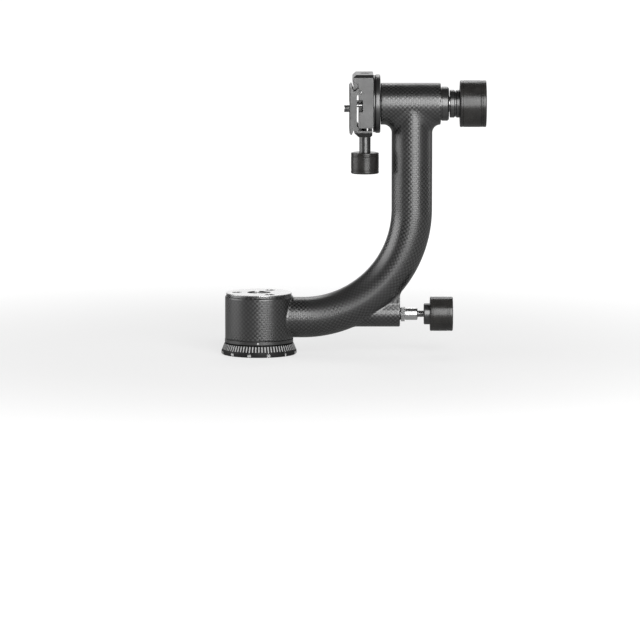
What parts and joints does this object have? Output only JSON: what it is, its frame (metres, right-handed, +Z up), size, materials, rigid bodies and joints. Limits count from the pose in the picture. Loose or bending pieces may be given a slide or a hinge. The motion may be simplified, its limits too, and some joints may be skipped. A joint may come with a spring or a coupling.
{
  "type": "gimbal tripod head",
  "caption": "Gimbal head for long lenses: graduated pan base, curved one-piece carbon arm, tilt housing with a dovetail clamp and plate, and lock knobs.",
  "frame": {"origin": "centre of the base thread's mouth, in the mounting face", "axes": "+Z up along the pan axis, +X from the pan axis towards the upright part of the arm, tilt axis parallel to X"},
  "size_m": [0.2283, 0.065, 0.2428],
  "materials": {
    "carbon": "satin woven carbon fibre",
    "anodised_black": "black anodised",
    "anodised_grey": "grey bead-blasted anodised",
    "cap_bright": "silver, fine turned",
    "steel": "turned steel",
    "chrome": "polished chrome",
    "rubber": "matt rubber",
    "brass": "turned brass"
  },
  "bodies": {
    "base": {"scale_ring": "anodised_black", "base_body": "anodised_black", "thread_insert": "steel", "ring_screws": "steel", "pan_inner_races": "steel", "pan_balls": "chrome", "brake_drum": "steel", "spindle_nut": "anodised_black", "spindle_lock_screw": "chrome"},
    "arm": {"arm": "carbon", "pan_liner": "anodised_black", "pan_top_cap": "cap_bright", "cap_screws": "anodised_black", "pan_outer_races": "steel", "tilt_sleeve": "anodised_black", "tilt_end_collar": "anodised_black", "tilt_outer_races": "steel", "lock_bush": "chrome", "lock_washer": "anodised_black"},
    "tilt_group": {"tilt_shaft": "steel", "tilt_flange": "anodised_black", "flange_bolt": "steel", "flange_disc": "anodised_grey", "clamp_body": "anodised_grey", "clamp_bolts": "steel", "tilt_inner_races": "steel", "tilt_balls": "chrome", "tilt_spacer": "steel", "shaft_circlip": "steel"},
    "tilt_thrust": {"thrust_washer": "anodised_black"},
    "tilt_knob": {"tilt_knob_core": "anodised_black", "tilt_knob_grip": "rubber", "tilt_knob_cap": "anodised_black"},
    "jaw": {"moving_jaw": "anodised_grey", "jaw_guide_pins": "steel"},
    "clamp_knob": {"clamp_screw": "anodised_black", "clamp_knob_core": "anodised_black", "clamp_knob_grip": "rubber", "screw_retainer": "anodised_black"},
    "brake_rod": {"push_rod": "steel", "brake_pad": "brass"},
    "pan_knob": {"lock_stud": "chrome", "pan_knob_core": "anodised_black", "pan_knob_grip": "rubber", "pan_knob_cap": "anodised_black"},
    "plate": {"quick_plate": "anodised_grey", "plate_pads": "rubber", "plate_stop_pins": "steel"},
    "camera_screw_body": {"camera_screw": "steel"}
  },
  "joints": [
    {"name": "pan", "type": "hinge", "parent": "base", "child": "arm", "pos_m": [0, 0, 0], "axis": [0, 0, 1], "continuous": true},
    {"name": "tilt", "type": "hinge", "parent": "arm", "child": "tilt_group", "pos_m": [0.132, 0, 0.2165], "axis": [1, 0, 0], "continuous": true},
    {"name": "tilt_lock_feed", "type": "slide", "parent": "tilt_group", "child": "tilt_thrust", "axis": [-1, 0, 0], "range_m": [0, 0.0007]},
    {"name": "tilt_lock_turn", "type": "hinge", "parent": "tilt_thrust", "child": "tilt_knob", "pos_m": [0.1845, 0, 0.2165], "axis": [-1, 0, 0], "range_deg": [0, 168.3]},
    {"name": "jaw_feed", "type": "slide", "parent": "tilt_group", "child": "jaw", "axis": [0, 0, -1], "range_m": [0, 0.005]},
    {"name": "clamp_turn", "type": "hinge", "parent": "jaw", "child": "clamp_knob", "pos_m": [0.0915, 0, 0.1715], "axis": [0, 0, -1], "range_deg": [0, 1440.5]},
    {"name": "pan_lock_feed", "type": "slide", "parent": "arm", "child": "brake_rod", "axis": [-1, 0, 0], "range_m": [0, 0.0008]},
    {"name": "pan_lock_turn", "type": "hinge", "parent": "brake_rod", "child": "pan_knob", "pos_m": [0.1575, 0, 0.0344], "axis": [-1, 0, 0], "range_deg": [0, 288.3]},
    {"name": "plate_slide", "type": "slide", "parent": "tilt_group", "child": "plate", "axis": [0, 1, 0], "range_m": [-0.008, 0.008]},
    {"name": "camera_screw_turn", "type": "hinge", "parent": "plate", "child": "camera_screw_body", "pos_m": [0.08, 0, 0.2123], "axis": [-1, 0, 0], "continuous": true}
  ],
  "couplings": [
    {"joint": "tilt_lock_turn", "follows": "tilt_lock_feed", "rad_per_m": 4188.8},
    {"joint": "clamp_turn", "follows": "jaw_feed", "rad_per_m": 5026.5},
    {"joint": "pan_lock_turn", "follows": "pan_lock_feed", "rad_per_m": 6283.2}
  ]
}
